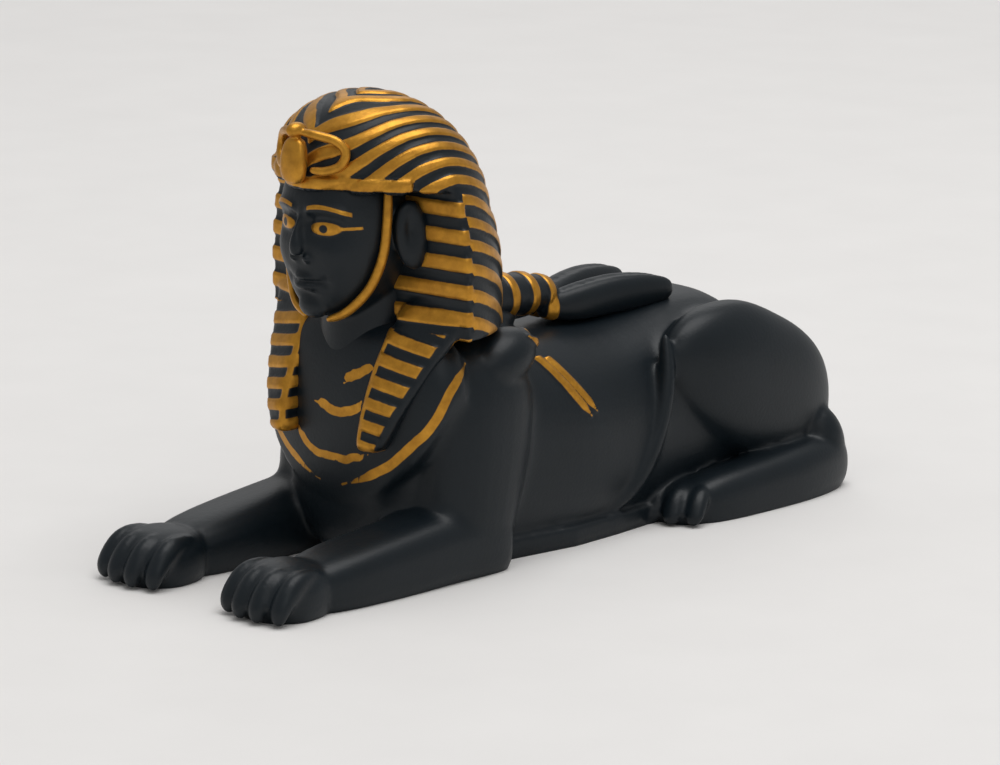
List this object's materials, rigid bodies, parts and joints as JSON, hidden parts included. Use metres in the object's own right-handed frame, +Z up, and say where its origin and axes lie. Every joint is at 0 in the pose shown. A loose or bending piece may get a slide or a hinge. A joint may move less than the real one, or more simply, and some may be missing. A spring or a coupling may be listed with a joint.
{
  "type": "sphinx statue",
  "caption": "Reclining sphinx figurine with a banded headcloth, cast in one piece and painted black with gold details.",
  "frame": {"origin": "centre of the underside, on the surface the figure stands on", "axes": "+Y towards the rump, along the body, so the figure looks along -Y; +X towards its left side; +Z up"},
  "size_m": [0.0418, 0.105, 0.0615],
  "materials": {
    "painted_resin": "satin black paint with brushed gold details"
  },
  "bodies": {
    "root": {"sphinx": "painted_resin"}
  },
  "joints": []
}
